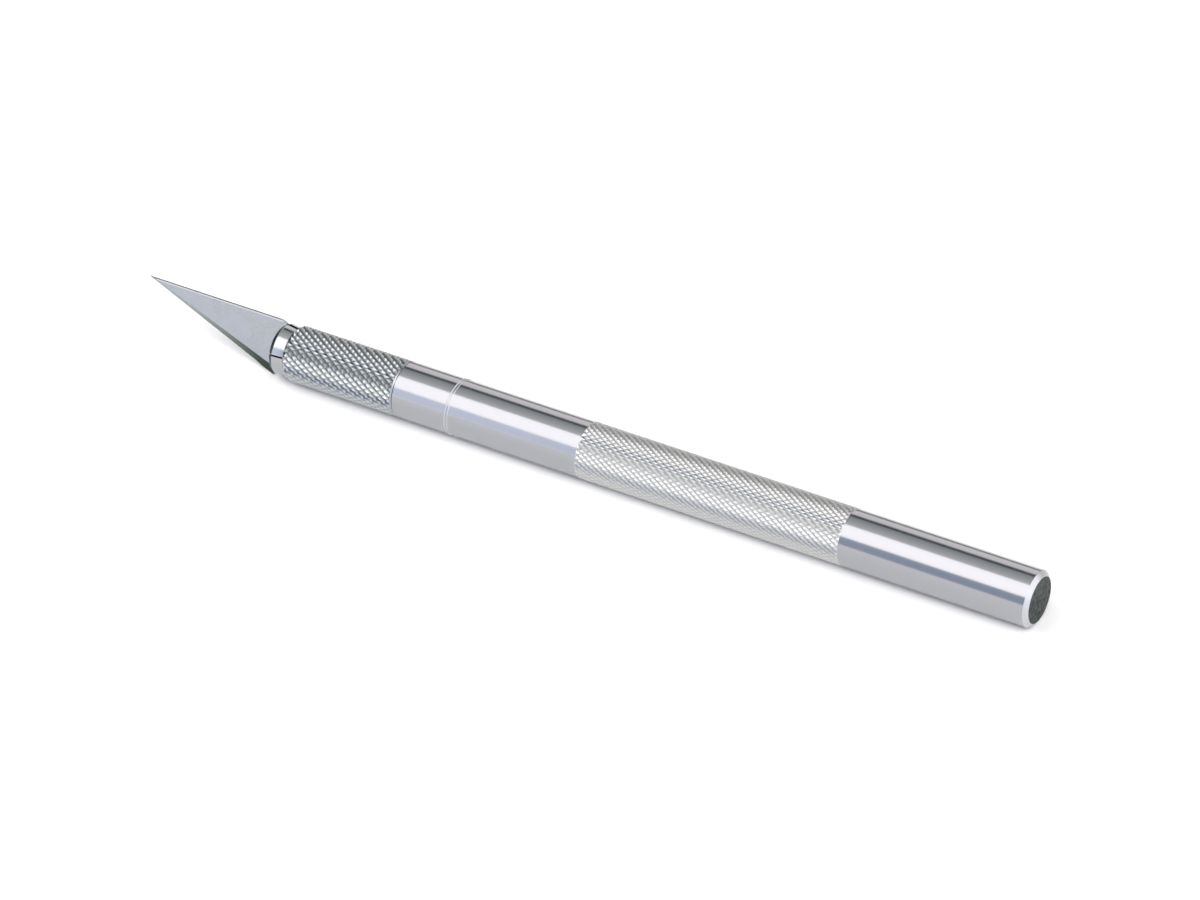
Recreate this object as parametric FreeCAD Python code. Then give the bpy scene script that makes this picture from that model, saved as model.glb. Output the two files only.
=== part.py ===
import FreeCAD, Part
import math
import os

# Hobby craft knife with a round metal handle and a four-jaw collet chuck.
# It lies along X: the blade's tip is at -X and the handle's rear end is at +X.
# It rests on the plane Z = 0. All sizes are in millimetres.
# Stations along the knife are distances from the rear face of the handle, and
# radii are measured from the knife's axis.

# Overall
OVERALL_LENGTH = 158.3
BARREL_RADIUS = 4.5
GRIP_PROUD = 0.08            # the knurled grip stands this much above the barrel
BLADE_LEAN_DEG = 15.8        # the spine leans this far from upright, towards +Y

# Handle
REAR_FACE_RADIUS = 3.75
REAR_CHAMFER = 0.65
GRIP_REAR = 31.6
GRIP_FRONT = 77.1
SEAM = 100.15                # where the handle meets the front bush
GROOVE_HALF_WIDTH = 0.42     # shallow V groove at the seam
GROOVE_DEPTH = 0.10
HANDLE_BORE_END = 84.0       # bottom of the blind bore's full-size part
DRILL_TIP = 1.4              # cone left by the drill
DRILL_RADIUS = 2.7

# Front bush
BUSH_FRONT = 110.0
SPIGOT_RADIUS = 3.4          # pressed into the handle's bore
SPIGOT_REAR = 90.0
BUSH_EDGE = 0.12
THREAD_RELIEF_RADIUS = 2.65
THREAD_REAR = 98.0
THREAD_FRONT = 108.4

# Collar
COLLAR_GAP = 0.05            # between the bush's front face and the collar
COLLAR_FRONT = 130.3
COLLAR_FACE_RADIUS = 4.05
COLLAR_CHAMFER = 0.5
COLLAR_FRONT_RADIUS = 4.46
COLLAR_REAR_RADIUS = 4.56
COLLAR_RIM = 0.25            # plain rim behind the knurl
COLLAR_BORE_RADIUS = 3.65
COLLAR_MOUTH_RADIUS = 3.93
MOUTH_TAPER_START = 127.6

# Collet
NOSE_FRONT = 132.9
NOSE_LIP = 0.7
NOSE_FACE_RADIUS = 3.75
NOSE_RIM_RADIUS = 4.18
RUNNING_CLEARANCE = 0.05
COLLET_BODY_REAR = 111.6
NECK_RADIUS = 1.9
TAIL_THREAD_FRONT = 109.4
TAIL_REAR = 97.4
TAIL_CHAMFER = 0.5
BLADE_SLOT_WIDTH = 0.66
BLADE_SLOT_END = 113.6
CROSS_SLIT_WIDTH = 0.30
CROSS_SLIT_END = 114.6

# Thread between the collet's tail and the bush, 5 mm by 0.8 mm, right-handed
PITCH = 0.8
TAIL_CREST_RADIUS = 2.45
TAIL_ROOT_RADIUS = 2.0
TAIL_CREST_WIDTH = 0.12
ROOT_HALF_WIDTH = 0.02
BUSH_CREST_RADIUS = 2.15
BUSH_ROOT_RADIUS = 2.53
THREAD_CLEARANCE = 0.055     # square to the flanks
THREAD_START_DEG = 37
THREAD_SLOPE = (PITCH - TAIL_CREST_WIDTH) / 2 / (TAIL_CREST_RADIUS - TAIL_ROOT_RADIUS)
CUTTER_OVERRUN = 0.03        # a thread's cutting section starts this far outside the metal
ENVELOPE_OVER = 0.1          # the trimming envelope clears the thread's crests

# Blade, with heights measured from the knife's axis towards the spine
BLADE_THICKNESS = 0.6
SPINE_HEIGHT = 4.64
TIP_HEIGHT = 4.55
TIP_DROP_LENGTH = 1.5        # the spine runs down to the tip over this length
SHOULDER = 133.4             # where the spine ends, and the heel meets the shank
BACK = 132.4                 # the back edge, standing in the collet's slot
BACK_HEIGHT = 4.2            # the spine slopes down to this height at the back edge
HEEL = 133.8
HEEL_DEPTH = 4.66            # below the axis
EDGE_BULGE = 0.12            # the cutting edge bows out this much
BEVEL_WIDTH = 1.0
EDGE_LAND = 0.02             # thickness left at the cutting edge
GRIND_RUN_OUT = 5.0          # the grind starts and ends this far off the blade
SHANK_HALF_WIDTH = 3.3
SHANK_REAR = 114.8
SHANK_CORNER = 1.0
SHANK_FILLET = 0.4
SHANK_SLOT_WIDTH = 1.6
SHANK_SLOT_LENGTH = 6.0
SHANK_SLOT_CENTRE = 123.0

CUT_BEYOND = 1.0             # saws, drills and punches run this far past the metal

AXIS_HEIGHT = BARREL_RADIUS + GRIP_PROUD
AXIS_DIRECTION = FreeCAD.Vector(1, 0, 0)


def station(distance, radius=0.0, across=0.0):
    """A point at a distance from the rear face, a height above the axis, and across it."""
    return FreeCAD.Vector(OVERALL_LENGTH / 2 - distance, across, AXIS_HEIGHT + radius)


def turned(profile):
    """A solid turned from a closed profile of (distance, radius) corners."""
    corners = [station(distance, radius) for distance, radius in profile]
    face = Part.Face(Part.makePolygon(corners + corners[:1]))
    return face.revolve(station(0), AXIS_DIRECTION, 360)


def rod(rear, front, radius):
    """A plain cylinder about the knife's axis."""
    return Part.makeCylinder(radius, front - rear, station(front), AXIS_DIRECTION)


def bar(rear, front, width_y, height_z):
    """A rectangular bar centred on the axis, for cutting slots."""
    corner = station(front, -height_z / 2, -width_y / 2)
    return Part.makeBox(front - rear, width_y, height_z, corner)


def helical_bar(rear, front, section):
    """A bar wound round the axis. Its section is (radius, half width) pairs, from inside out."""
    helix = Part.makeHelix(PITCH, front - rear, section[0][0])
    helix.rotate(FreeCAD.Vector(), FreeCAD.Vector(0, 1, 0), 90)
    helix.translate(station(front))
    start = helix.Edges[0].valueAt(helix.Edges[0].FirstParameter)
    outwards = FreeCAD.Vector(0, start.y, start.z - AXIS_HEIGHT).normalize()
    upper = []
    lower = []
    for radius, half_width in section:
        centre = FreeCAD.Vector(start.x, 0, AXIS_HEIGHT) + outwards * radius
        upper.append(centre + AXIS_DIRECTION * half_width)
        lower.append(centre - AXIS_DIRECTION * half_width)
    corners = upper + lower[::-1]
    profile = Part.makePolygon(corners + corners[:1])
    sweep = Part.BRepOffsetAPI.MakePipeShell(Part.Wire(helix.Edges))
    sweep.setFrenetMode(True)
    sweep.add(profile)
    sweep.build()
    sweep.makeSolid()
    thread = sweep.shape()
    # Turned so that the thread's ends keep away from the seam of each turned body
    thread.rotate(station(0), AXIS_DIRECTION, THREAD_START_DEG)
    return thread


def leaned(shape):
    """The blade and the collet's slots lean together about the knife's axis."""
    copy = shape.copy()
    copy.rotate(station(0), AXIS_DIRECTION, -BLADE_LEAN_DEG)
    return copy


def make_handle():
    grip = BARREL_RADIUS + GRIP_PROUD
    return turned([
        (0, 0),
        (0, REAR_FACE_RADIUS),
        (REAR_CHAMFER, BARREL_RADIUS),
        (GRIP_REAR, BARREL_RADIUS),
        (GRIP_REAR + GRIP_PROUD, grip),
        (GRIP_FRONT - GRIP_PROUD, grip),
        (GRIP_FRONT, BARREL_RADIUS),
        (SEAM - GROOVE_HALF_WIDTH, BARREL_RADIUS),
        (SEAM, BARREL_RADIUS - GROOVE_DEPTH),
        (SEAM, SPIGOT_RADIUS),
        (SPIGOT_REAR, SPIGOT_RADIUS),
        (SPIGOT_REAR, DRILL_RADIUS),
        (HANDLE_BORE_END, DRILL_RADIUS),
        (HANDLE_BORE_END - DRILL_TIP, 0),
    ])


def make_front_bush():
    body = turned([
        (SPIGOT_REAR, BUSH_CREST_RADIUS),
        (SPIGOT_REAR, SPIGOT_RADIUS),
        (SEAM, SPIGOT_RADIUS),
        (SEAM, BARREL_RADIUS - GROOVE_DEPTH),
        (SEAM + GROOVE_HALF_WIDTH, BARREL_RADIUS),
        (BUSH_FRONT - BUSH_EDGE, BARREL_RADIUS),
        (BUSH_FRONT, BARREL_RADIUS - BUSH_EDGE),
        (BUSH_FRONT, BUSH_CREST_RADIUS),
    ])
    gap = THREAD_CLEARANCE * math.hypot(1, THREAD_SLOPE)
    section = []
    for radius in (BUSH_CREST_RADIUS - CUTTER_OVERRUN, BUSH_ROOT_RADIUS):
        half_width = TAIL_CREST_WIDTH / 2 + (TAIL_CREST_RADIUS - radius) * THREAD_SLOPE + gap
        section.append((radius, half_width))
    body = body.cut(helical_bar(THREAD_REAR - PITCH, THREAD_FRONT + PITCH, section))
    # Reliefs bored out at both ends, where the thread stops
    body = body.cut(rod(SPIGOT_REAR - CUT_BEYOND, THREAD_REAR, THREAD_RELIEF_RADIUS))
    return body.cut(rod(THREAD_FRONT, BUSH_FRONT + CUT_BEYOND, THREAD_RELIEF_RADIUS))


def make_collar():
    rear = BUSH_FRONT + COLLAR_GAP
    return turned([
        (rear, COLLAR_BORE_RADIUS),
        (rear, BARREL_RADIUS - BUSH_EDGE),
        (rear + BUSH_EDGE, BARREL_RADIUS),
        (rear + COLLAR_RIM, BARREL_RADIUS),
        (rear + COLLAR_RIM, COLLAR_REAR_RADIUS),
        (COLLAR_FRONT - COLLAR_CHAMFER, COLLAR_FRONT_RADIUS),
        (COLLAR_FRONT, COLLAR_FACE_RADIUS),
        (COLLAR_FRONT, COLLAR_MOUTH_RADIUS),
        (MOUTH_TAPER_START, COLLAR_BORE_RADIUS),
    ])


def make_tail():
    """The collet's threaded tail, with its neck."""
    spare = 3 * PITCH
    blank = rod(TAIL_REAR - spare, COLLET_BODY_REAR + spare, TAIL_CREST_RADIUS)
    outside = TAIL_CREST_RADIUS + CUTTER_OVERRUN
    mouth = ROOT_HALF_WIDTH + (outside - TAIL_ROOT_RADIUS) * THREAD_SLOPE
    section = [(TAIL_ROOT_RADIUS, ROOT_HALF_WIDTH), (outside, mouth)]
    # Starting half a pitch off the bush's groove sets each ridge in the middle of that groove
    blank = blank.cut(helical_bar(TAIL_REAR - PITCH, THREAD_FRONT + 2.5 * PITCH, section))
    envelope = turned([
        (TAIL_REAR, 0),
        (TAIL_REAR, TAIL_CREST_RADIUS - TAIL_CHAMFER),
        (TAIL_REAR + TAIL_CHAMFER, TAIL_CREST_RADIUS + ENVELOPE_OVER),
        (TAIL_THREAD_FRONT, TAIL_CREST_RADIUS + ENVELOPE_OVER),
        (TAIL_THREAD_FRONT, NECK_RADIUS),
        (COLLET_BODY_REAR, NECK_RADIUS),
        (COLLET_BODY_REAR, 0),
    ])
    return blank.common(envelope)


def make_collet():
    body_radius = COLLAR_BORE_RADIUS - RUNNING_CLEARANCE
    mouth_radius = COLLAR_MOUTH_RADIUS - RUNNING_CLEARANCE
    body = turned([
        (COLLET_BODY_REAR, 0),
        (COLLET_BODY_REAR, body_radius),
        (MOUTH_TAPER_START, body_radius),
        (COLLAR_FRONT, mouth_radius),
        (NOSE_FRONT - NOSE_LIP, NOSE_RIM_RADIUS),
        (NOSE_FRONT, NOSE_FACE_RADIUS),
        (NOSE_FRONT, 0),
    ])
    body = body.fuse(make_tail()).removeSplitter()
    wide = 2 * NOSE_RIM_RADIUS + CUT_BEYOND
    ahead = NOSE_FRONT + CUT_BEYOND
    body = body.cut(bar(BLADE_SLOT_END, ahead, BLADE_SLOT_WIDTH, wide))
    body = body.cut(bar(CROSS_SLIT_END, ahead, wide, CROSS_SLIT_WIDTH))
    return leaned(body)


def make_blade():
    tip = station(OVERALL_LENGTH, TIP_HEIGHT)
    heel = station(HEEL, -HEEL_DEPTH)
    along = (heel - tip).normalize()
    inwards = FreeCAD.Vector(-along.z, 0, along.x)
    belly = (tip + heel) * 0.5 - inwards * EDGE_BULGE
    corners = [
        heel,
        station(SHOULDER, -SHANK_HALF_WIDTH),
        station(SHANK_REAR + SHANK_CORNER, -SHANK_HALF_WIDTH),
        station(SHANK_REAR, -SHANK_HALF_WIDTH + SHANK_CORNER),
        station(SHANK_REAR, SHANK_HALF_WIDTH - SHANK_CORNER),
        station(SHANK_REAR + SHANK_CORNER, SHANK_HALF_WIDTH),
        station(BACK, SHANK_HALF_WIDTH),
        station(BACK, BACK_HEIGHT),
        station(SHOULDER, SPINE_HEIGHT),
        station(OVERALL_LENGTH - TIP_DROP_LENGTH, SPINE_HEIGHT),
        tip,
    ]
    edges = [Part.LineSegment(a, b).toShape() for a, b in zip(corners, corners[1:])]
    edges.append(Part.Arc(tip, belly, heel).toShape())
    outline = Part.Face(Part.Wire(edges))
    outline.translate(FreeCAD.Vector(0, -BLADE_THICKNESS / 2, 0))
    blade = outline.extrude(FreeCAD.Vector(0, BLADE_THICKNESS, 0))
    # Fillets where the shank meets the heel and the back edge
    at_shoulder = [edge for edge in blade.Edges if is_shoulder_corner(edge)]
    blade = blade.makeFillet(SHANK_FILLET, at_shoulder)
    # Slot through the shank
    straight = SHANK_SLOT_LENGTH - SHANK_SLOT_WIDTH
    end_radius = SHANK_SLOT_WIDTH / 2
    across = FreeCAD.Vector(0, 1, 0)
    slot = Part.makeBox(straight, 2 * CUT_BEYOND, SHANK_SLOT_WIDTH)
    slot.translate(station(SHANK_SLOT_CENTRE + straight / 2, -end_radius, -CUT_BEYOND))
    for end in (-straight / 2, straight / 2):
        centre = station(SHANK_SLOT_CENTRE + end, 0, -CUT_BEYOND)
        slot = slot.fuse(Part.makeCylinder(end_radius, 2 * CUT_BEYOND, centre, across))
    blade = blade.cut(slot)
    # Bevels ground on both sides of the cutting edge
    for side in (-1, 1):
        outwards = FreeCAD.Vector(0, side, 0)
        start = tip - along * GRIND_RUN_OUT - inwards * EDGE_BULGE
        section = [
            start + outwards * (EDGE_LAND / 2),
            start + inwards * BEVEL_WIDTH + outwards * (BLADE_THICKNESS / 2),
            start + inwards * BEVEL_WIDTH + outwards * BLADE_THICKNESS,
            start - inwards * BEVEL_WIDTH + outwards * BLADE_THICKNESS,
            start - inwards * BEVEL_WIDTH + outwards * (EDGE_LAND / 2),
        ]
        grind = Part.Face(Part.makePolygon(section + section[:1]))
        length = (heel - tip).Length + 2 * GRIND_RUN_OUT
        blade = blade.cut(grind.extrude(along * length))
    return leaned(blade)


def is_shoulder_corner(edge):
    """True for the edges through the thickness where the shank meets the shoulders."""
    start, end = edge.Vertexes[0].Point, edge.Vertexes[-1].Point
    corners = (station(SHOULDER, -SHANK_HALF_WIDTH), station(BACK, SHANK_HALF_WIDTH))
    for corner in corners:
        place = FreeCAD.Vector(corner.x, start.y, corner.z)
        opposite = FreeCAD.Vector(corner.x, end.y, corner.z)
        if start.distanceToPoint(place) < 0.01 and end.distanceToPoint(opposite) < 0.01:
            return True
    return False


def save(name, shape):
    solid = shape.Solids[0]
    if len(shape.Solids) != 1 or not solid.isValid():
        raise RuntimeError(name + " is not one valid solid")
    solid.exportStep("parts/" + name + ".step")
    box = solid.BoundBox
    print(name, round(solid.Volume, 2), "mm3")
    print("  x", round(box.XMin, 2), "to", round(box.XMax, 2))
    print("  y", round(box.YMin, 2), "to", round(box.YMax, 2))
    print("  z", round(box.ZMin, 2), "to", round(box.ZMax, 2))


os.makedirs("parts", exist_ok=True)
save("handle", make_handle())
save("front_bush", make_front_bush())
save("collar", make_collar())
save("collet", make_collet())
save("blade", make_blade())
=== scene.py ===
import math

import bmesh
import bpy
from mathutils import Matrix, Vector


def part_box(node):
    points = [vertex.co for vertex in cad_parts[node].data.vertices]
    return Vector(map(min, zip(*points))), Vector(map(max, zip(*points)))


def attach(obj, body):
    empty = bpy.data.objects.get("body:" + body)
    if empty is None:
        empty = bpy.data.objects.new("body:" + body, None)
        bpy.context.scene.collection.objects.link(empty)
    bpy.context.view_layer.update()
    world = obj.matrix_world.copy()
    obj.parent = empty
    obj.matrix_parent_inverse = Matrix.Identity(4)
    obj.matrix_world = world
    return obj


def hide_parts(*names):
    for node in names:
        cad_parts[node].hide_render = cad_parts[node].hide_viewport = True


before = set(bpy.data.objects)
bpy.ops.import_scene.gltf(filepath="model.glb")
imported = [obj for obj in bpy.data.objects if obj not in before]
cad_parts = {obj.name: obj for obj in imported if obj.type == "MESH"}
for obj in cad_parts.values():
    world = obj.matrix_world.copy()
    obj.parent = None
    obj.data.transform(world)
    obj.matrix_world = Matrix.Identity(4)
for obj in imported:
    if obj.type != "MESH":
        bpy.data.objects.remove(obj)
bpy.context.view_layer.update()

MM = 0.001

# ---------------------------------------------------------------------------
# Camera. A long lens looks down on the knife from beside its rear end, so the
# knife runs from the blade's tip at the upper left to its butt at the lower right.
# ---------------------------------------------------------------------------
CAMERA_AZIMUTH = math.radians(30.26)
CAMERA_ELEVATION = math.radians(34.76)
CAMERA_DISTANCE = 921.1 * MM
CAMERA_AIM = Vector((2.06, 3.31, 2.62)) * MM

camera_data = bpy.data.cameras.new("view_camera")
camera_data.lens = 180
camera_data.sensor_width = 36
camera_data.clip_start = 0.01
camera_data.clip_end = 20
camera = bpy.data.objects.new("view_camera", camera_data)
bpy.context.scene.collection.objects.link(camera)
towards_camera = Vector((
    math.sin(CAMERA_AZIMUTH) * math.cos(CAMERA_ELEVATION),
    -math.cos(CAMERA_AZIMUTH) * math.cos(CAMERA_ELEVATION),
    math.sin(CAMERA_ELEVATION),
))
camera.location = CAMERA_AIM + towards_camera * CAMERA_DISTANCE
camera.rotation_euler = (math.pi / 2 - CAMERA_ELEVATION, 0, CAMERA_AZIMUTH)
bpy.context.scene.camera = camera


# ---------------------------------------------------------------------------
# Floor and light. A white laminate table in a plain studio: one long overhead
# softbox, a low front fill, a small key light, and soft grey walls that the round
# metal mirrors as bands. Sizes and distances of the lights are in metres.
# ---------------------------------------------------------------------------
def srgb(code):
    """An sRGB hex colour as linear red, green, blue and alpha."""
    channels = [int(code[i:i + 2], 16) / 255 for i in (1, 3, 5)]
    linear = [c / 12.92 if c <= 0.04045 else ((c + 0.055) / 1.055) ** 2.4 for c in channels]
    return (*linear, 1)


def add_node(tree, kind, settings=None, links=None, **properties):
    """Adds a node, sets its sockets by name or number, and links others into it."""
    new = tree.nodes.new(kind)
    for name, value in properties.items():
        setattr(new, name, value)
    for socket, value in (settings or {}).items():
        new.inputs[socket].default_value = value
    for socket, source in (links or {}).items():
        tree.links.new(source, new.inputs[socket])
    return new


def new_material(name):
    """An empty node material with its output."""
    material = bpy.data.materials.new(name)
    material.use_nodes = True
    material.node_tree.nodes.clear()
    return material, material.node_tree


def finish_material(tree, shader):
    """Joins a shader to the material's output."""
    add_node(tree, "ShaderNodeOutputMaterial", links={"Surface": shader.outputs["BSDF"]})


FLOOR_SIZE = 4.0

bpy.ops.object.select_all(action="DESELECT")
bpy.ops.mesh.primitive_plane_add(size=FLOOR_SIZE, location=(0, 0, 0))
floor = bpy.context.object
floor.name = "floor"
# Matt laminate: an even, almost pure white with no gloss
floor_laminate, tree = new_material("matt_white_laminate")
finish_material(tree, add_node(tree, "ShaderNodeBsdfPrincipled", {
    "Base Color": srgb("#F8F8F7"), "Roughness": 0.8,
}))
floor.data.materials.append(floor_laminate)

WALL_BRIGHTNESS = 3.6
# The walls, by the angle up from the horizontal in front, over the top to the back
WALL_BANDS = [
    (-60, "#C9CBC9"),
    (0, "#A1AEBF"),
    (30, "#A1AEBF"),
    (34, "#CFD0D1"),
    (84, "#CFD0D0"),
    (121, "#A0A4A4"),
    (124, "#3A4649"),
    (134, "#3A4649"),
    (137, "#F2EDEE"),
    (166, "#F2EDEE"),
    (173, "#48494A"),
]
# A tint over them, from 0 straight past the blade to 1 straight past the butt: the end
# wall past the blade is dark, and the one past the butt is bright
END_TINTS = [
    (0.02, "#171B1D"),
    (0.05, "#ACACAC"),
    (0.52, "#ACACAC"),
    (0.60, "#868686"),
    (0.80, "#868686"),
    (0.86, "#FFFFFF"),
]
world = bpy.data.worlds.new("studio_walls")
bpy.context.scene.world = world
world.use_nodes = True
tree = world.node_tree
tree.nodes.clear()
direction = add_node(tree, "ShaderNodeTexCoord")
parts = add_node(tree, "ShaderNodeSeparateXYZ", links={0: direction.outputs["Generated"]})
front = add_node(tree, "ShaderNodeMath", {1: -1.0}, {0: parts.outputs["Y"]}, operation="MULTIPLY")
angle = add_node(tree, "ShaderNodeMath", links={0: parts.outputs["Z"], 1: front.outputs[0]},
                 operation="ARCTAN2")
share = add_node(tree, "ShaderNodeMapRange", {
    "From Min": -math.pi, "From Max": math.pi, "To Min": 0.0, "To Max": 1.0,
}, {"Value": angle.outputs[0]})


def fill_ramp(node, stops):
    """Sets a colour ramp from (position, hex colour) stops."""
    ramp = node.color_ramp
    for position, code in stops:
        ramp.elements.new(position).color = srgb(code)
    ramp.elements.remove(ramp.elements[-1])
    ramp.elements.remove(ramp.elements[0])


bands = add_node(tree, "ShaderNodeValToRGB", links={"Fac": share.outputs["Result"]})
fill_ramp(bands, [((degrees + 180) / 360, code) for degrees, code in WALL_BANDS])
along = add_node(tree, "ShaderNodeMapRange", {"From Min": -1.0, "From Max": 1.0},
                 {"Value": parts.outputs["X"]})
ends = add_node(tree, "ShaderNodeValToRGB", links={"Fac": along.outputs["Result"]})
fill_ramp(ends, END_TINTS)
walls = add_node(tree, "ShaderNodeMix", {"Factor": 1.0}, {
    "A": bands.outputs["Color"], "B": ends.outputs["Color"],
}, data_type="RGBA", blend_type="MULTIPLY")
glow = add_node(tree, "ShaderNodeBackground", {"Strength": WALL_BRIGHTNESS},
                {"Color": walls.outputs["Result"]})
add_node(tree, "ShaderNodeOutputWorld", links={"Surface": glow.outputs["Background"]})


def softbox(name, elevation, distance, middle_x, length, width, power, colour="#FFFFFF"):
    """A rectangular area light in front, raised by an angle and tilted down at the knife."""
    data = bpy.data.lights.new(name, "AREA")
    data.shape = "RECTANGLE"
    data.size = length
    data.size_y = width
    data.energy = power
    data.color = srgb(colour)[:3]
    light = bpy.data.objects.new(name, data)
    bpy.context.scene.collection.objects.link(light)
    tilt = math.radians(elevation)
    away = Vector((0, -math.cos(tilt), math.sin(tilt)))
    light.location = Vector((middle_x, 0, 0)) + away * distance
    light.rotation_euler = (math.pi / 2 - tilt, 0, 0)


softbox("overhead_softbox", 56, 1.5, -0.68, 2.8, 1.4, 19.5, "#FFF9FC")
softbox("low_front_fill", 15.5, 0.40, -0.31, 0.32, 0.22, 0.19, "#F4F2FF")
# A key light above the camera throws the knife's shadow behind it
softbox("key_light", 55, 1.20, 0.55, 0.40, 0.40, 4)
bpy.context.scene.view_settings.view_transform = "Standard"


# ---------------------------------------------------------------------------
# Handle. One long bar of bright turned aluminium: bored in front for the bush, smooth at
# both ends, with a fine diamond knurl rolled into the grip, and a chamfered butt.
# ---------------------------------------------------------------------------
handle_low, handle_high = (Vector(corner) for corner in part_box("handle"))
AXIS_Z = (handle_low.z + handle_high.z) / 2
REAR_X = handle_high.x
SEAM_X = REAR_X - 100.15 * MM
BARREL_RADIUS = 4.5 * MM
SPIGOT_RADIUS = 3.4 * MM     # of the bush's spigot and of the bore that takes it
BORE_RADIUS = 2.7 * MM
GROOVE_RADIUS = 4.43 * MM    # at the bottom of the groove along the seam
GROOVE_HALF_WIDTH = 0.10 * MM
BURR_RADIUS = 4.57 * MM      # of the fine burr on both sides of the groove
BURR_START = 0.22 * MM       # these three are distances from the seam
BURR_END = 0.27 * MM
BURR_FOOT = 0.34 * MM
CHAMFER = 0.65 * MM
BUTT_RADIUS = 3.75 * MM
OUTSIDE_RADIUS = 4.0 * MM    # faces of the knurls and the seam lie beyond this
RIDGE_HEIGHT = 0.4           # of the knurl's ridges between two crests, as a share
SMOOTH_ANGLE = 10            # degrees


def behind(distance):
    """The X of a place so many millimetres in front of the knife's rear face."""
    return REAR_X - distance * MM


def from_axis(place):
    """How far a place lies from the knife's axis."""
    return math.hypot(place.y, place.z - AXIS_Z)


def begin_ring(name, x, radius, sides):
    """Starts a turned piece as one ring of edges about the knife's axis."""
    bpy.ops.object.select_all(action="DESELECT")
    bpy.ops.mesh.primitive_circle_add(
        vertices=sides, radius=radius, location=(x, 0, AXIS_Z), rotation=(0, math.pi / 2, 0))
    piece = bpy.context.object
    piece.name = name
    piece.data.name = name
    bpy.ops.object.transform_apply(location=True, rotation=True, scale=True)
    bpy.ops.object.mode_set(mode="EDIT")
    bpy.ops.mesh.select_mode(type="VERT")
    bpy.ops.mesh.select_all(action="SELECT")
    return piece


def draw_on(x, radius, last_x, last_radius):
    """Extrudes the selected ring along the axis to a new place and radius."""
    bpy.ops.mesh.extrude_region_move(TRANSFORM_OT_translate={"value": (x - last_x, 0, 0)})
    size = radius / last_radius
    if abs(size - 1) > 1e-9:
        bpy.ops.transform.resize(value=(1, size, size), center_override=(x, 0, AXIS_Z))


def turn_profile(name, profile, sides, closed_loop=False):
    """Turns a piece from (x, radius) steps and closes its ends, or joins them in a ring."""
    x, radius = profile[0]
    piece = begin_ring(name, x, radius, sides)
    for next_x, next_radius in profile[1:]:
        draw_on(next_x, next_radius, x, radius)
        x, radius = next_x, next_radius
    if closed_loop:
        draw_on(*profile[0], x, radius)
        bpy.ops.mesh.select_all(action="SELECT")
        bpy.ops.mesh.remove_doubles(threshold=1e-6)
    else:
        bpy.ops.mesh.edge_face_add()
        pick_vertices(piece, lambda co: abs(co.x - profile[0][0]) < 1e-7)
        bpy.ops.mesh.edge_face_add()
    bpy.ops.mesh.select_all(action="SELECT")
    bpy.ops.mesh.normals_make_consistent(inside=False)
    return piece


def pick_vertices(piece, wanted):
    """Selects in edit mode just the vertices whose place passes a test."""
    bpy.ops.mesh.select_mode(type="VERT")
    bpy.ops.mesh.select_all(action="DESELECT")
    mesh = bmesh.from_edit_mesh(piece.data)
    for vertex in mesh.verts:
        vertex.select = wanted(vertex.co)
    mesh.select_flush(True)
    bmesh.update_edit_mesh(piece.data)


def bevel_rings(piece, places, width, segments=2):
    """Rounds the sharp rings of edges at the given (x, radius) places."""
    bpy.ops.mesh.select_mode(type="EDGE")
    bpy.ops.mesh.select_all(action="DESELECT")
    mesh = bmesh.from_edit_mesh(piece.data)
    for edge in mesh.edges:
        ends = [(v.co.x, from_axis(v.co)) for v in edge.verts]
        edge.select = any(
            all(abs(x - px) < 1e-6 and abs(r - pr) < 2e-6 for x, r in ends) for px, pr in places)
    bmesh.update_edit_mesh(piece.data)
    bpy.ops.mesh.bevel(offset=width, segments=segments, affect="EDGES")


def pick_faces(piece, wanted):
    """Selects in edit mode just the faces whose centre and normal pass a test."""
    bpy.ops.mesh.select_mode(type="FACE")
    bpy.ops.mesh.select_all(action="DESELECT")
    mesh = bmesh.from_edit_mesh(piece.data)
    for face in mesh.faces:
        face.select = wanted(face.calc_center_median(), face.normal)
    mesh.select_flush_mode()
    bmesh.update_edit_mesh(piece.data)


def paint_faces(piece, material, wanted):
    """Gives another material to the faces whose centre and normal pass a test."""
    piece.data.materials.append(material)
    bpy.ops.object.mode_set(mode="EDIT")
    pick_faces(piece, wanted)
    piece.active_material_index = len(piece.data.materials) - 1
    bpy.ops.object.material_slot_assign()
    bpy.ops.object.mode_set(mode="OBJECT")


def in_band(first_x, last_x):
    """A test for faces round the outside of a piece between two places along it."""
    def test(centre, normal):
        return from_axis(centre) > OUTSIDE_RADIUS and first_x < centre.x < last_x
    return test


def roll_knurl(piece, first_x, step, rows, columns, valley, height):
    """Presses crossing grooves into a band of rings, deeper one way than the other."""
    def row_and_column(co):
        turn = math.atan2(co.z - AXIS_Z, co.y) / (2 * math.pi)
        return (co.x - first_x) / step, turn * columns

    def is_crest(co):
        row, column = row_and_column(co)
        on_band = abs(from_axis(co) - valley) < 1e-6
        return on_band and -0.1 < row < rows - 0.9 and (round(row) + round(column)) % 2 == 0

    def is_middle(co, odd):
        row, column = row_and_column(co)
        between = abs(row % 1 - 0.5) < 0.1 and abs(column % 1 - 0.5) < 0.1
        in_rows = from_axis(co) > OUTSIDE_RADIUS and 0 < row < rows - 1
        return between and in_rows and int(row // 1 + column // 1) % 2 == odd

    def set_radius(new, old):
        bpy.ops.transform.resize(value=(1, new / old, new / old), center_override=(0, 0, AXIS_Z))

    pick_vertices(piece, is_crest)
    set_radius(valley + height, valley)
    pick_faces(piece, in_band(first_x, first_x + (rows - 1) * step))
    bpy.ops.mesh.poke()
    middle = valley + height / 2
    pick_vertices(piece, lambda co: is_middle(co, 1))
    set_radius(valley, middle)
    pick_vertices(piece, lambda co: is_middle(co, 0))
    set_radius(valley + RIDGE_HEIGHT * height, middle)


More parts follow.
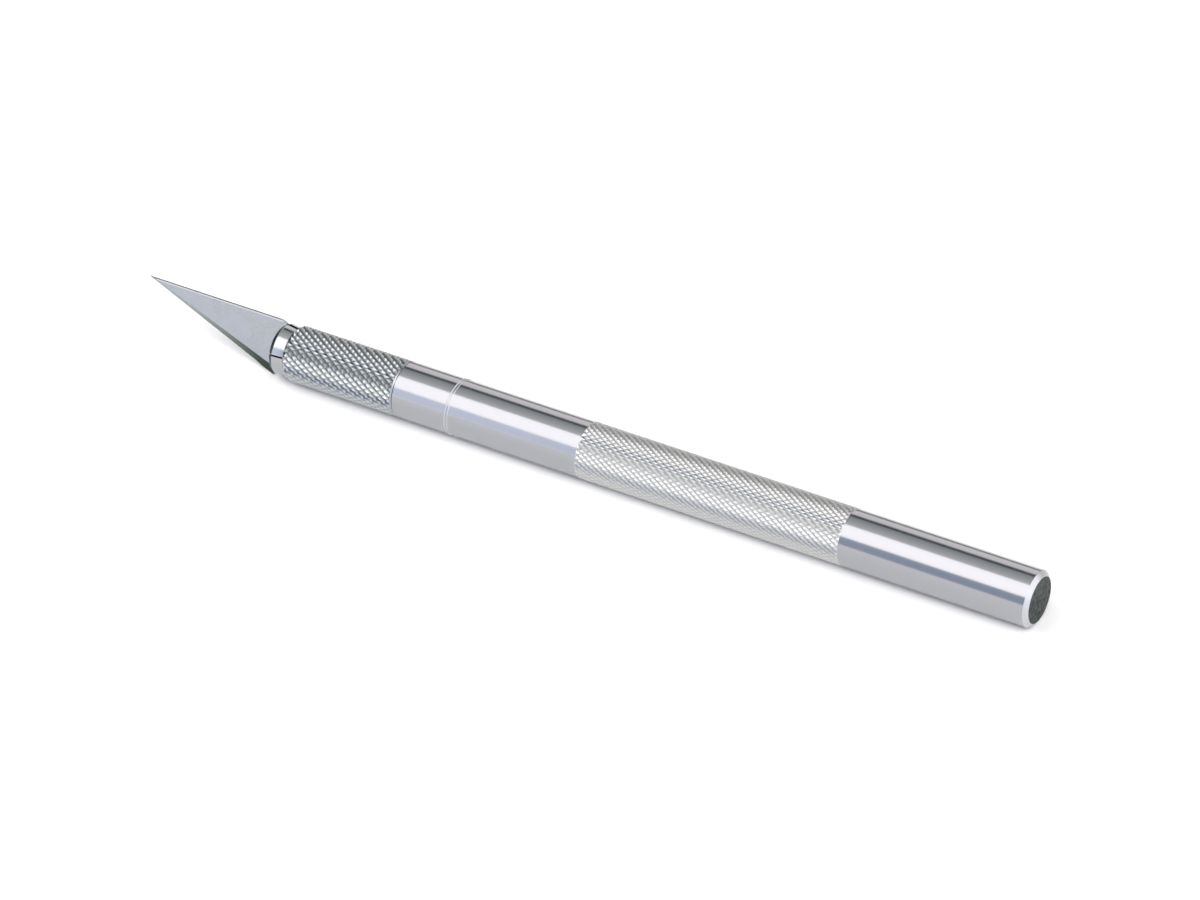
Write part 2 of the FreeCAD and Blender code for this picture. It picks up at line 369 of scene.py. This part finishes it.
def leave_edit():
    """Ends the modelling of a piece and smooths its round faces."""
    bpy.ops.object.mode_set(mode="OBJECT")
    bpy.ops.object.shade_smooth_by_angle(angle=math.radians(SMOOTH_ANGLE))


GRIP_FRONT_X = behind(77.1)
GRIP_REAR_X = behind(31.6)
GRIP_COLUMNS = 70            # 35 grooves each way round, at 30 degrees to the axis
GRIP_ROWS = 65
GRIP_CREST_RADIUS = 4.575 * MM
GRIP_DEPTH = 0.19 * MM

grip_step = (GRIP_REAR_X - GRIP_FRONT_X - 0.4 * MM) / (GRIP_ROWS - 1)
grip_start = GRIP_FRONT_X + 0.2 * MM
valley = GRIP_CREST_RADIUS - GRIP_DEPTH
BORE_END_X = behind(84.0)
BORE_STEP_X = behind(90.0)   # where the bush's spigot ends

profile = [
    (BORE_END_X, BORE_RADIUS),
    (BORE_STEP_X, BORE_RADIUS),
    (BORE_STEP_X, SPIGOT_RADIUS),
    (SEAM_X, SPIGOT_RADIUS),
    (SEAM_X, GROOVE_RADIUS),
    (SEAM_X + GROOVE_HALF_WIDTH, GROOVE_RADIUS),
    (SEAM_X + BURR_START, BURR_RADIUS),
    (SEAM_X + BURR_END, BURR_RADIUS),
    (SEAM_X + BURR_FOOT, BARREL_RADIUS),
    (GRIP_FRONT_X, BARREL_RADIUS),
]
profile += [(grip_start + row * grip_step, valley) for row in range(GRIP_ROWS)]
profile += [
    (GRIP_REAR_X, BARREL_RADIUS),
    (REAR_X - CHAMFER, BARREL_RADIUS),
    (REAR_X, BUTT_RADIUS),
]
handle = turn_profile("handle_body", profile, GRIP_COLUMNS)
roll_knurl(handle, grip_start, grip_step, GRIP_ROWS, GRIP_COLUMNS, valley, GRIP_DEPTH)
bevel_rings(handle, [(REAR_X, BUTT_RADIUS), (REAR_X - CHAMFER, BARREL_RADIUS)], 0.05 * MM)
leave_edit()

# Aluminium bar, turned bright: close to a mirror, softened by marks that run round the
# bar. They come about every 0.3 mm, far coarser than real ones, so that they show.
bright_aluminium, tree = new_material("bright_turned_aluminium")
place = add_node(tree, "ShaderNodeTexCoord")
squeezed = add_node(tree, "ShaderNodeMapping", {"Scale": (3.3 / MM, 0.06 / MM, 0.06 / MM)},
                    {"Vector": place.outputs["Object"]})
marks = add_node(tree, "ShaderNodeTexNoise", {"Scale": 1.0, "Detail": 3.0, "Roughness": 0.6},
                 {"Vector": squeezed.outputs["Vector"]})
marks_bump = add_node(tree, "ShaderNodeBump", {"Strength": 0.12, "Distance": 0.02 * MM},
                      {"Height": marks.outputs["Fac"]})
gloss = add_node(tree, "ShaderNodeMapRange", {"To Min": 0.13, "To Max": 0.21},
                 {"Value": marks.outputs["Fac"]})
finish_material(tree, add_node(tree, "ShaderNodeBsdfPrincipled", {
    "Base Color": srgb("#A4A5A8"), "Metallic": 1.0,
}, {"Roughness": gloss.outputs["Result"], "Normal": marks_bump.outputs["Normal"]}))
handle.data.materials.append(bright_aluminium)

# The butt was sawn off and faced roughly: dark and dull, with specks of 0.6 mm
dull_end, tree = new_material("dull_sawn_aluminium")
place = add_node(tree, "ShaderNodeTexCoord")
specks = add_node(tree, "ShaderNodeTexNoise", {"Scale": 1.6 / MM, "Detail": 3.0, "Roughness": 0.7},
                  {"Vector": place.outputs["Object"]})
contrast = add_node(tree, "ShaderNodeMapRange", {"From Min": 0.4, "From Max": 0.6},
                    {"Value": specks.outputs["Fac"]})
tint = add_node(tree, "ShaderNodeMix", {"A": srgb("#030605"), "B": srgb("#444F4A")},
                {"Factor": contrast.outputs["Result"]}, data_type="RGBA")
specks_bump = add_node(tree, "ShaderNodeBump", {"Strength": 1.0, "Distance": 0.1 * MM},
                       {"Height": specks.outputs["Fac"]})
finish_material(tree, add_node(tree, "ShaderNodeBsdfPrincipled", {
    "Metallic": 1.0, "Roughness": 0.45,
}, {"Base Color": tint.outputs["Result"], "Normal": specks_bump.outputs["Normal"]}))
paint_faces(handle, dull_end, lambda centre, normal: centre.x > REAR_X - 1e-6)

# Freshly cut aluminium, on the butt's chamfer and the seam's burrs: paler and more satin
# than the barrel
cut_edge, tree = new_material("satin_cut_edge")
finish_material(tree, add_node(tree, "ShaderNodeBsdfPrincipled", {
    "Base Color": srgb("#C2C2C6"), "Metallic": 1.0, "Roughness": 0.42,
}))


def is_seam_edge(centre, normal):
    """True for the fine burrs on both sides of the seam's groove."""
    across = abs(centre.x - SEAM_X)
    return from_axis(centre) > OUTSIDE_RADIUS and GROOVE_HALF_WIDTH < across < BURR_FOOT


def is_cut_edge(centre, normal):
    """True for the seam's burr and the butt's chamfer."""
    chamfer_start = REAR_X - CHAMFER - 0.05 * MM
    on_chamfer = normal.x > 0.3 and chamfer_start < centre.x < REAR_X - 1e-6
    return is_seam_edge(centre, normal) or on_chamfer


paint_faces(handle, cut_edge, is_cut_edge)

# The rolled grip is left satin, with a grain of 0.2 mm; painted shade darkens it down in its
# grooves
satin_knurl, tree = new_material("satin_rolled_knurl")
place = add_node(tree, "ShaderNodeTexCoord")
grain = add_node(tree, "ShaderNodeTexNoise", {"Scale": 5 / MM, "Detail": 2.0},
                 {"Vector": place.outputs["Object"]})
gloss = add_node(tree, "ShaderNodeMapRange", {"To Min": 0.26, "To Max": 0.38},
                 {"Value": grain.outputs["Fac"]})


def painted_groove_shade(tree, place, valley_radius, crest_radius, shaded_groove_code, lit_ridge_code):
    """Painted shade: a colour that goes from dark at the bottom of the knurl's grooves up to light
    on its ridges.
    """
    across = add_node(tree, "ShaderNodeMapping", {
        "Location": (0, 0, -AXIS_Z), "Scale": (0, 1, 1),
    }, {"Vector": place.outputs["Object"]})
    radius = add_node(tree, "ShaderNodeVectorMath", links={0: across.outputs["Vector"]},
                      operation="LENGTH")
    height = add_node(tree, "ShaderNodeMapRange", {
        "From Min": valley_radius, "From Max": crest_radius,
    }, {"Value": radius.outputs["Value"]})
    return add_node(tree, "ShaderNodeMix", {"A": srgb(shaded_groove_code), "B": srgb(lit_ridge_code)},
                    {"Factor": height.outputs["Result"]}, data_type="RGBA")


tint = painted_groove_shade(tree, place, valley, GRIP_CREST_RADIUS, "#A4A6A6", "#D2D1CE")
finish_material(tree, add_node(tree, "ShaderNodeBsdfPrincipled", {"Metallic": 1.0}, {
    "Base Color": tint.outputs["Result"], "Roughness": gloss.outputs["Result"],
}))
paint_faces(handle, satin_knurl, in_band(GRIP_FRONT_X, GRIP_REAR_X))
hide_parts("handle")
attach(handle, "handle")

# ---------------------------------------------------------------------------
# Front bush. A turned aluminium ring with a spigot that is pressed into the handle; a
# shallow groove marks the joint. The collet's tail screws into its bore.
# ---------------------------------------------------------------------------
bush_low, bush_high = (Vector(corner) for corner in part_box("front_bush"))
BUSH_FRONT_X = bush_low.x
BUSH_BORE_RADIUS = 2.65 * MM
EDGE_RADIUS = 4.38 * MM      # where a small chamfer meets an end face
EDGE_CHAMFER = 0.12 * MM
profile = [
    (BUSH_FRONT_X, BUSH_BORE_RADIUS),
    (BUSH_FRONT_X, EDGE_RADIUS),
    (BUSH_FRONT_X + EDGE_CHAMFER, BARREL_RADIUS),
    (SEAM_X - BURR_FOOT, BARREL_RADIUS),
    (SEAM_X - BURR_END, BURR_RADIUS),
    (SEAM_X - BURR_START, BURR_RADIUS),
    (SEAM_X - GROOVE_HALF_WIDTH, GROOVE_RADIUS),
    (SEAM_X, GROOVE_RADIUS),
    (SEAM_X, SPIGOT_RADIUS),
    (bush_high.x, SPIGOT_RADIUS),
    (bush_high.x, BUSH_BORE_RADIUS),
]
bush = turn_profile("front_bush_ring", profile, 96, closed_loop=True)
leave_edit()
bush.data.materials.append(bright_aluminium)
paint_faces(bush, cut_edge, is_seam_edge)
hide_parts("front_bush")
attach(bush, "handle")

# ---------------------------------------------------------------------------
# Collar. The aluminium sleeve that closes the collet, with a coarser diamond knurl
# for the fingers, a plain rim behind and a small chamfer in front.
# ---------------------------------------------------------------------------
collar_low, collar_high = (Vector(corner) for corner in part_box("collar"))
COLLAR_FRONT_X = collar_low.x
COLLAR_REAR_X = collar_high.x
COLLAR_COLUMNS = 56          # 28 grooves each way round
COLLAR_ROWS = 25
COLLAR_DEPTH = 0.30 * MM
COLLAR_CREST_RADIUS = 4.55 * MM
COLLAR_BORE_RADIUS = 3.65 * MM
COLLAR_MOUTH_RADIUS = 3.93 * MM
COLLAR_FACE_RADIUS = 4.05 * MM

knurl_start = COLLAR_FRONT_X + 0.55 * MM
knurl_end = COLLAR_REAR_X - 0.35 * MM
knurl_step = (knurl_end - knurl_start) / (COLLAR_ROWS - 1)
valley = COLLAR_CREST_RADIUS - COLLAR_DEPTH
profile = [
    (COLLAR_FRONT_X, COLLAR_MOUTH_RADIUS),
    (COLLAR_FRONT_X, COLLAR_FACE_RADIUS),
]
profile += [(knurl_start + row * knurl_step, valley) for row in range(COLLAR_ROWS)]
profile += [
    (COLLAR_REAR_X - 0.25 * MM, BARREL_RADIUS),
    (COLLAR_REAR_X - EDGE_CHAMFER, BARREL_RADIUS),
    (COLLAR_REAR_X, EDGE_RADIUS),
    (COLLAR_REAR_X, COLLAR_BORE_RADIUS),
    (COLLAR_FRONT_X + 2.7 * MM, COLLAR_BORE_RADIUS),
]
collar = turn_profile("knurled_collar", profile, COLLAR_COLUMNS, closed_loop=True)
roll_knurl(collar, knurl_start, knurl_step, COLLAR_ROWS, COLLAR_COLUMNS, valley, COLLAR_DEPTH)
leave_edit()
collar.data.materials.append(bright_aluminium)

# The collar's knurl was cut, not rolled: shiny ridges, and grooves darkened with painted shade
bright_knurl, tree = new_material("bright_cut_knurl")
place = add_node(tree, "ShaderNodeTexCoord")
grain = add_node(tree, "ShaderNodeTexNoise", {"Scale": 4 / MM, "Detail": 2.0},
                 {"Vector": place.outputs["Object"]})
gloss = add_node(tree, "ShaderNodeMapRange", {"To Min": 0.14, "To Max": 0.24},
                 {"Value": grain.outputs["Fac"]})
tint = painted_groove_shade(tree, place, valley, COLLAR_CREST_RADIUS, "#6E7577", "#D4D5D5")
finish_material(tree, add_node(tree, "ShaderNodeBsdfPrincipled", {"Metallic": 1.0}, {
    "Base Color": tint.outputs["Result"], "Roughness": gloss.outputs["Result"],
}))
paint_faces(collar, bright_knurl, in_band(knurl_start, knurl_end))
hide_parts("collar")
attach(collar, "collar")

# ---------------------------------------------------------------------------
# Collet. A turned steel chuck with a flared nose, sawn down both ways into four jaws.
# The wide slot takes the blade, and the thin slit across it lets the jaws close.
# ---------------------------------------------------------------------------
LEAN = math.radians(15.8)    # the blade's spine leans back this far from upright
NOSE_X = Vector(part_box("collet")[0]).x
NOSE_RIM_X = NOSE_X + 0.7 * MM
NOSE_RIM_RADIUS = 4.17 * MM
NOSE_FACE_RADIUS = 3.75 * MM
STEM_RADIUS = 3.6 * MM       # of the plain stem inside the collar
TAIL_RADIUS = 2.44 * MM
NECK_RADIUS = 1.9 * MM       # of the neck between the tail and the stem
profile = [
    (behind(97.4), 1.95 * MM),
    (behind(97.9), TAIL_RADIUS),
    (behind(109.4), TAIL_RADIUS),
    (behind(109.4), NECK_RADIUS),
    (behind(111.6), NECK_RADIUS),
    (behind(111.6), STEM_RADIUS),
    (behind(127.6), STEM_RADIUS),
    (COLLAR_FRONT_X, 3.88 * MM),
    (NOSE_RIM_X, NOSE_RIM_RADIUS),
    (NOSE_X, NOSE_FACE_RADIUS),
]
collet = turn_profile("slit_collet", profile, 96)
bevel_rings(collet, [(NOSE_RIM_X, NOSE_RIM_RADIUS)], 0.12 * MM, 3)
bpy.ops.object.mode_set(mode="OBJECT")


def cut_with(piece, cutter):
    """Cuts another solid out of a piece, and throws the cutter away."""
    cut = piece.modifiers.new("cut", "BOOLEAN")
    cut.operation = "DIFFERENCE"
    cut.solver = "EXACT"
    cut.object = cutter
    bpy.ops.object.select_all(action="DESELECT")
    bpy.context.view_layer.objects.active = piece
    piece.select_set(True)
    bpy.ops.object.modifier_apply(modifier=cut.name)
    bpy.data.objects.remove(cutter)


def saw_slot(piece, end_x, width, turn):
    """Saws a straight slot from the nose back to an end, turned about the knife's axis."""
    front_x = NOSE_X - 2 * MM
    bpy.ops.object.select_all(action="DESELECT")
    bpy.ops.mesh.primitive_cube_add(
        size=1, location=((front_x + end_x) / 2, 0, AXIS_Z), rotation=(-turn, 0, 0))
    saw = bpy.context.object
    saw.scale = (end_x - front_x, width, 10 * MM)
    bpy.ops.object.transform_apply(location=True, rotation=True, scale=True)
    cut_with(piece, saw)


saw_slot(collet, behind(113.6), 0.66 * MM, LEAN)
saw_slot(collet, behind(114.6), 0.30 * MM, LEAN + math.pi / 2)
bpy.ops.object.shade_smooth_by_angle(angle=math.radians(25))

# Turned and polished steel: a near mirror, with faint marks round it every 0.25 mm
bright_steel, tree = new_material("bright_turned_steel")
place = add_node(tree, "ShaderNodeTexCoord")
squeezed = add_node(tree, "ShaderNodeMapping", {"Scale": (4 / MM, 0.2 / MM, 0.2 / MM)},
                    {"Vector": place.outputs["Object"]})
marks = add_node(tree, "ShaderNodeTexNoise", {"Scale": 1.0, "Detail": 2.0},
                 {"Vector": squeezed.outputs["Vector"]})
gloss = add_node(tree, "ShaderNodeMapRange", {"To Min": 0.12, "To Max": 0.2},
                 {"Value": marks.outputs["Fac"]})
finish_material(tree, add_node(tree, "ShaderNodeBsdfPrincipled", {
    "Base Color": srgb("#A8ABAC"), "Metallic": 1.0,
}, {"Roughness": gloss.outputs["Result"]}))
collet.data.materials.append(bright_steel)

# Painted shade: near-black steel on the nose's lip and face and in the saw cuts
painted_shade_steel, tree = new_material("painted_shade_dark_steel")
finish_material(tree, add_node(tree, "ShaderNodeBsdfPrincipled", {
    "Base Color": srgb("#3C4142"), "Metallic": 1.0, "Roughness": 0.35,
}))


def is_shaded_lip_or_cut(centre, normal):
    """True for the nose's lip and face, and for everything inside the jaws, which get painted
    shade.
    """
    on_lip = centre.x < NOSE_X + 0.6 * MM
    inside = from_axis(centre) < STEM_RADIUS - 0.05 * MM
    return on_lip or (inside and centre.x < behind(112))


# The lip, the face and the saw cuts get the painted shade
paint_faces(collet, painted_shade_steel, is_shaded_lip_or_cut)
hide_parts("collet")
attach(collet, "collet")

# ---------------------------------------------------------------------------
# Blade. Hardened steel strip 0.6 mm thick, with a straight spine, an edge ground from
# both sides, and a narrower slotted shank that the jaws grip.
# ---------------------------------------------------------------------------
TIP_X = Vector(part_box("blade")[0]).x
SHOULDER_X = behind(133.4)
BACK_X = behind(132.4)       # the back edge stands in the collet's slot
SHANK_REAR_X = behind(114.8)
SHANK = 3.3 * MM             # half its width
SPINE = 4.64 * MM            # above the knife's axis
HALF_THICKNESS = 0.3 * MM
EDGE_THICKNESS = 0.04        # left at the cutting edge, as a share of the strip's
RIDGE_THICKNESS = 0.57       # left on the ridge between the bevel's two facets
HEEL_THICKNESS = 0.45        # left at the heel's corner
TIP = Vector((TIP_X, 0, 4.6 * MM))
HEEL = Vector((behind(133.8), 0, -4.66 * MM))
GRIND_END = Vector((behind(136.1), 0, -3.8 * MM))
ALONG = Vector((1, 0, 0))
UP = Vector((0, 0, 1))


def cut_sheet(point, way, keep=None):
    """Cuts the flat sheet along a line, and drops the side away from the one to keep."""
    bpy.ops.mesh.select_all(action="SELECT")
    away = Vector((-way.z, 0, way.x)).normalized()
    if keep is not None and away.dot(keep) > 0:
        away = -away
    bpy.ops.mesh.bisect(
        plane_co=point, plane_no=away, clear_outer=keep is not None, threshold=1e-6)


bpy.ops.object.select_all(action="DESELECT")
bpy.ops.mesh.primitive_plane_add(
    size=1, location=((TIP_X + BACK_X) / 2, 0, 0), rotation=(math.pi / 2, 0, 0))
blade = bpy.context.object
blade.name = "pointed_blade"
blade.data.name = "pointed_blade"
blade.scale = (BACK_X - TIP_X, 4 * SPINE, 1)
bpy.ops.object.transform_apply(location=True, rotation=True, scale=True)
bpy.ops.object.mode_set(mode="EDIT")
edge_way = (HEEL - TIP).normalized()
cut_sheet(Vector((0, 0, SPINE)), ALONG, keep=-UP)
cut_sheet(TIP, edge_way, keep=UP)
cut_sheet(HEEL, Vector((0.4, 0, 1.36)), keep=-ALONG)
cut_sheet(Vector((SHOULDER_X, 0, SPINE)), Vector((1.0, 0, -0.44)), keep=-UP)
# The bevel widens from about 0.4 mm near the tip to 1.3 mm at the heel
bevel_front = TIP + edge_way * 1.0 * MM + UP * 0.4 * MM
bevel_back = HEEL + UP * 1.35 * MM
cut_sheet(bevel_front, bevel_back - bevel_front)
# A second, flatter facet ends the grind at the heel
cut_sheet(GRIND_END, Vector((1.1, 0, 1.2)))
for height in (-SHANK, SHANK):
    cut_sheet(Vector((0, 0, height)), ALONG)
# The shank is drawn out of the back edge between the two shoulders
pick_vertices(blade, lambda co: co.x > SHOULDER_X - 0.05 * MM and abs(co.z) < SHANK + 1e-6)
bpy.ops.mesh.extrude_region_move(
    TRANSFORM_OT_translate={"value": (SHANK_REAR_X - BACK_X, 0, 0)})
bpy.ops.transform.resize(value=(0, 1, 1), center_override=(SHANK_REAR_X, 0, 0))
pick_vertices(blade, lambda co: co.x > SHANK_REAR_X - 0.1 * MM and abs(co.z) > SHANK - 1e-6)
bpy.ops.mesh.bevel(offset=1.0 * MM, segments=1, affect="VERTICES")
# The cutting edge bows out slightly in front of the heel
pick_vertices(blade, lambda co: abs(co.x - GRIND_END.x) < 0.02 * MM and co.z < -3.7 * MM)
bpy.ops.transform.translate(value=(0, 0, -0.12 * MM))
# Both sides of the strip
bpy.ops.mesh.select_all(action="SELECT")
bpy.ops.transform.translate(value=(0, -HALF_THICKNESS, 0))
bpy.ops.mesh.extrude_region_move(TRANSFORM_OT_translate={"value": (0, 2 * HALF_THICKNESS, 0)})


def off_edge(co):
    """How far a point of the sheet lies inside the straight line of the cutting edge."""
    return (Vector((co.x, 0, co.z)) - TIP).dot(Vector((-edge_way.z, 0, edge_way.x)))


def is_on_ridge(co):
    """True for the point half way up the bevel where its two facets meet."""
    way = (bevel_back - bevel_front).normalized()
    above_bevel = (Vector((co.x, 0, co.z)) - bevel_front).dot(Vector((-way.z, 0, way.x)))
    return above_bevel < -0.02 * MM and off_edge(co) > 0.3 * MM


pick_vertices(blade, is_on_ridge)
bpy.ops.transform.resize(value=(1, RIDGE_THICKNESS, 1), center_override=(0, 0, 0))
pick_vertices(blade, lambda co: off_edge(co) < 0.02 * MM and co.x < behind(134.5))
bpy.ops.transform.resize(value=(1, EDGE_THICKNESS, 1), center_override=(0, 0, 0))
pick_vertices(blade, lambda co: abs(co.x - HEEL.x) < 0.05 * MM and co.z < -4.5 * MM)
bpy.ops.transform.resize(value=(1, HEEL_THICKNESS, 1), center_override=(0, 0, 0))
bpy.ops.mesh.select_all(action="SELECT")
bpy.ops.mesh.normals_make_consistent(inside=False)
# The long edges of the spine are eased by tumbling
bpy.ops.mesh.select_mode(type="EDGE")
bpy.ops.mesh.select_all(action="DESELECT")
mesh = bmesh.from_edit_mesh(blade.data)
for edge in mesh.edges:
    on_spine = all(abs(v.co.z - SPINE) < 1e-6 for v in edge.verts)
    edge.select = on_spine and abs(edge.verts[0].co.y - edge.verts[1].co.y) < 1e-6
bmesh.update_edit_mesh(blade.data)
bpy.ops.mesh.bevel(offset=0.2 * MM, segments=2, affect="EDGES")
bpy.ops.object.mode_set(mode="OBJECT")
# A long slot is punched through the shank
SLOT_X = behind(123)
SLOT_RADIUS = 0.8 * MM
SLOT_STRETCH = 2.2 * MM      # each way from its middle, before the round ends
bpy.ops.object.select_all(action="DESELECT")
bpy.ops.mesh.primitive_cylinder_add(
    vertices=32, radius=SLOT_RADIUS, depth=2 * MM, location=(SLOT_X, 0, 0),
    rotation=(math.pi / 2, 0, 0))
punch = bpy.context.object
bpy.ops.object.transform_apply(location=True, rotation=True, scale=True)
bpy.ops.object.mode_set(mode="EDIT")
for way in (-1, 1):
    pick_vertices(punch, lambda co: (co.x - SLOT_X) * way > 1e-6)
    bpy.ops.transform.translate(value=(way * SLOT_STRETCH, 0, 0))
bpy.ops.object.mode_set(mode="OBJECT")
cut_with(blade, punch)
blade.rotation_euler = (-LEAN, 0, 0)
blade.location = (0, 0, AXIS_Z)
bpy.ops.object.transform_apply(location=True, rotation=True, scale=True)
bpy.ops.object.shade_smooth_by_angle(angle=math.radians(5))

# Carbon steel strip, finely lapped: satin grey, with a soft cloudiness about 4 mm wide
# over a grain of 0.17 mm
lapped_steel, tree = new_material("lapped_carbon_steel")
place = add_node(tree, "ShaderNodeTexCoord")
clouds = add_node(tree, "ShaderNodeTexNoise", {"Scale": 0.26 / MM, "Detail": 3.0},
                  {"Vector": place.outputs["Object"]})
squeezed = add_node(tree, "ShaderNodeMapping", {"Scale": (0.9 / MM, 6 / MM, 6 / MM)},
                    {"Vector": place.outputs["Object"]})
grain = add_node(tree, "ShaderNodeTexNoise", {"Scale": 1.0, "Detail": 2.0},
                 {"Vector": squeezed.outputs["Vector"]})
both = add_node(tree, "ShaderNodeMath", links={0: clouds.outputs["Fac"], 1: grain.outputs["Fac"]},
                operation="MULTIPLY")
gloss = add_node(tree, "ShaderNodeMapRange", {"From Max": 0.5, "To Min": 0.22, "To Max": 0.36},
                 {"Value": both.outputs[0]})
tint = add_node(tree, "ShaderNodeMix", {"A": srgb("#9AA09E"), "B": srgb("#ABACB6")},
                {"Factor": clouds.outputs["Fac"]}, data_type="RGBA")
grain_bump = add_node(tree, "ShaderNodeBump", {"Strength": 0.06, "Distance": 0.02 * MM},
                      {"Height": grain.outputs["Fac"]})
finish_material(tree, add_node(tree, "ShaderNodeBsdfPrincipled", {"Metallic": 1.0}, {
    "Base Color": tint.outputs["Result"], "Roughness": gloss.outputs["Result"],
    "Normal": grain_bump.outputs["Normal"],
}))
blade.data.materials.append(lapped_steel)

# Ground steel: the wheel left fine scratches across the bevel, about 0.1 mm apart. Its
# dark grey is partly its own ground finish and partly painted shade. It is pale near the
# tip, and painted shade from the collet's nose darkens it towards the heel.
ground_steel_and_shade, tree = new_material("ground_bevel_steel_and_shade")
place = add_node(tree, "ShaderNodeTexCoord")
squeezed = add_node(tree, "ShaderNodeMapping", {"Scale": (9 / MM, 0.5 / MM, 0.5 / MM)},
                    {"Vector": place.outputs["Object"]})
scratches = add_node(tree, "ShaderNodeTexNoise", {"Scale": 1.0, "Detail": 2.0},
                     {"Vector": squeezed.outputs["Vector"]})
spot = add_node(tree, "ShaderNodeSeparateXYZ", links={0: place.outputs["Object"]})
shade_towards_heel = add_node(tree, "ShaderNodeMapRange", {
    "From Min": behind(150), "From Max": behind(136.5),
}, {"Value": spot.outputs["X"]})
pale = add_node(tree, "ShaderNodeMix", {"A": srgb("#7E8682"), "B": srgb("#A2A9A5")},
                {"Factor": scratches.outputs["Fac"]}, data_type="RGBA")
tint = add_node(tree, "ShaderNodeMix", {"B": srgb("#3E4740")}, {
    "Factor": shade_towards_heel.outputs["Result"], "A": pale.outputs["Result"],
}, data_type="RGBA")
finish_material(tree, add_node(tree, "ShaderNodeBsdfPrincipled", {
    "Metallic": 1.0, "Roughness": 0.3,
}, {"Base Color": tint.outputs["Result"]}))
leaned_side = Vector((0, math.cos(LEAN), -math.sin(LEAN)))
leaned_up = Vector((0, math.sin(LEAN), math.cos(LEAN)))


def is_ground(centre, normal):
    """True for the bevels: faces turned a little down from the blade's sides."""
    return 0.3 < abs(normal.dot(leaned_side)) < 0.998 and normal.dot(leaned_up) < 0


def is_spine_top(centre, normal):
    """True for the flat top of the spine, in front of the shank."""
    return normal.dot(leaned_up) > 0.97 and centre.x < SHOULDER_X


# The bevels get the ground steel with its painted shade
paint_faces(blade, ground_steel_and_shade, is_ground)
# Painted shade: the top of the spine is dark steel, for the dark line along the back edge
paint_faces(blade, painted_shade_steel, is_spine_top)
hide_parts("blade")
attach(blade, "blade")
